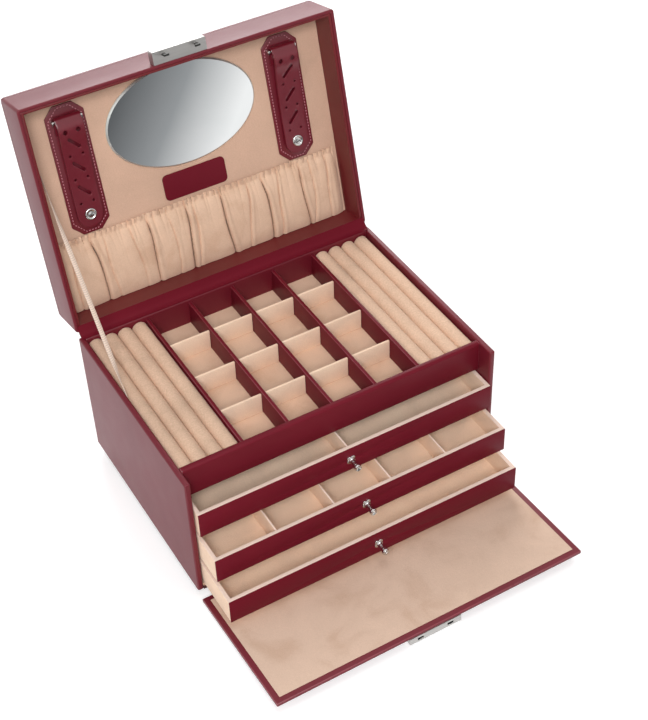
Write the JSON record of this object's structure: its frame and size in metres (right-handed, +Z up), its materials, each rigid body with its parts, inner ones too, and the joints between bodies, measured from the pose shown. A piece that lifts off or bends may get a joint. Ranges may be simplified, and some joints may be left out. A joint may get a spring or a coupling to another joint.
{
  "type": "leather jewellery case",
  "caption": "Leather jewellery case with a mirrored hinged lid, a drop-down front with a lock, a divided top tray and sliding drawers behind the front.",
  "frame": {"origin": "middle of the plinth underside, on the surface that the case stands on, under the middle of the case width and of the wall depth", "axes": "+Z up, front of the case towards -Y, +X to the right as seen from the front"},
  "size_m": [0.28, 0.4389, 0.3321],
  "materials": {
    "burgundy_leather": "smooth satin leather",
    "velour": "short brushed pile",
    "lined_board": "board covered in pale velour",
    "board": "plain fibre board",
    "satin_nickel": "satin nickel plate",
    "chrome": "polished",
    "zinc_steel": "zinc plated",
    "mirror_glass": "polished"
  },
  "bodies": {
    "case": {"plinth": "burgundy_leather", "base_board": "board", "floor_lining": "velour", "left_wall": "burgundy_leather", "right_wall": "burgundy_leather", "back_wall": "burgundy_leather", "drawer_shelves": "board", "tray_floor": "board", "tray_lining": "velour", "tray_front_panel": "burgundy_leather", "tray_dividers": "burgundy_leather", "tray_cross_dividers": "velour", "ring_rolls_left": "velour", "ring_rolls_right": "velour", "lid_hinge_case_leaf": "satin_nickel", "lid_hinge_pin": "satin_nickel", "flap_hinge_rail": "burgundy_leather", "flap_hinge_pin": "satin_nickel", "stay_ribbon": "velour"},
    "lid": {"lid_frame": "burgundy_leather", "lid_liner": "burgundy_leather", "lid_lining_panel": "velour", "lid_top_board": "board", "lid_top_pad": "burgundy_leather", "oval_mirror": "mirror_glass", "name_plate": "burgundy_leather", "strap_patch_left": "burgundy_leather", "strap_patch_right": "burgundy_leather", "strap_bars": "chrome", "stud_sockets": "chrome", "pocket": "velour", "lid_catch": "satin_nickel", "handle_strap": "burgundy_leather", "handle_posts": "chrome", "handle_nuts": "zinc_steel", "lid_hinge_lid_leaf": "satin_nickel"},
    "strap_left": {"strap_left": "burgundy_leather", "stud_cap_left": "chrome"},
    "strap_right": {"strap_right": "burgundy_leather", "stud_cap_right": "chrome"},
    "flap": {"flap_board": "burgundy_leather", "flap_lining": "velour", "lock_case": "satin_nickel", "flap_hinge_strip": "burgundy_leather"},
    "key_plug": {"key_plug": "chrome"},
    "lock_button_left": {"lock_button_left": "chrome"},
    "lock_button_right": {"lock_button_right": "chrome"},
    "upper_drawer": {"upper_drawer_box": "lined_board", "upper_drawer_front": "burgundy_leather", "upper_drawer_dividers": "velour", "upper_drawer_knob": "chrome"},
    "middle_drawer": {"middle_drawer_box": "lined_board", "middle_drawer_front": "burgundy_leather", "middle_drawer_dividers": "velour", "middle_drawer_knob": "chrome"},
    "lower_drawer": {"lower_drawer_box": "lined_board", "lower_drawer_front": "burgundy_leather", "lower_drawer_knob": "chrome"}
  },
  "joints": [
    {"name": "lid_hinge", "type": "hinge", "parent": "case", "child": "lid", "pos_m": [0, 0.1002, 0.1295], "axis": [-1, 0, 0], "range_deg": [-103.9, 0], "deforming": ["stay_ribbon"]},
    {"name": "flap_hinge", "type": "hinge", "parent": "case", "child": "flap", "pos_m": [0, -0.1003, 0.002], "axis": [1, 0, 0], "range_deg": [-86.39, 0]},
    {"name": "strap_left_hinge", "type": "hinge", "parent": "lid", "child": "strap_left", "pos_m": [-0.0972, 0.16254, 0.29147], "axis": [-1, 0, 0], "range_deg": [0, 110]},
    {"name": "strap_right_hinge", "type": "hinge", "parent": "lid", "child": "strap_right", "pos_m": [0.0972, 0.16254, 0.29147], "axis": [-1, 0, 0], "range_deg": [0, 110]},
    {"name": "key_turn", "type": "hinge", "parent": "flap", "child": "key_plug", "pos_m": [0, -0.21088, 0.00897], "axis": [0, 0.0629, 0.998], "range_deg": [0, 90]},
    {"name": "lock_button_left_push", "type": "slide", "parent": "flap", "child": "lock_button_left", "axis": [1, 0, 0], "range_m": [0, 0.002], "stiffness_N_per_m": 400, "springref_m": -0.002},
    {"name": "lock_button_right_push", "type": "slide", "parent": "flap", "child": "lock_button_right", "axis": [-1, 0, 0], "range_m": [0, 0.002], "stiffness_N_per_m": 400, "springref_m": -0.002},
    {"name": "upper_drawer_slide", "type": "slide", "parent": "case", "child": "upper_drawer", "axis": [0, -1, 0], "range_m": [-0.025, 0]},
    {"name": "middle_drawer_slide", "type": "slide", "parent": "case", "child": "middle_drawer", "axis": [0, -1, 0], "range_m": [-0.0477, 0]},
    {"name": "lower_drawer_slide", "type": "slide", "parent": "case", "child": "lower_drawer", "axis": [0, -1, 0], "range_m": [-0.1057, 0]}
  ],
  "couplings": [
    {"joint": "upper_drawer_slide", "follows": "flap_hinge", "m_per_rad": 0.016448},
    {"joint": "middle_drawer_slide", "follows": "flap_hinge", "m_per_rad": 0.031503},
    {"joint": "lower_drawer_slide", "follows": "flap_hinge", "m_per_rad": 0.069969}
  ]
}
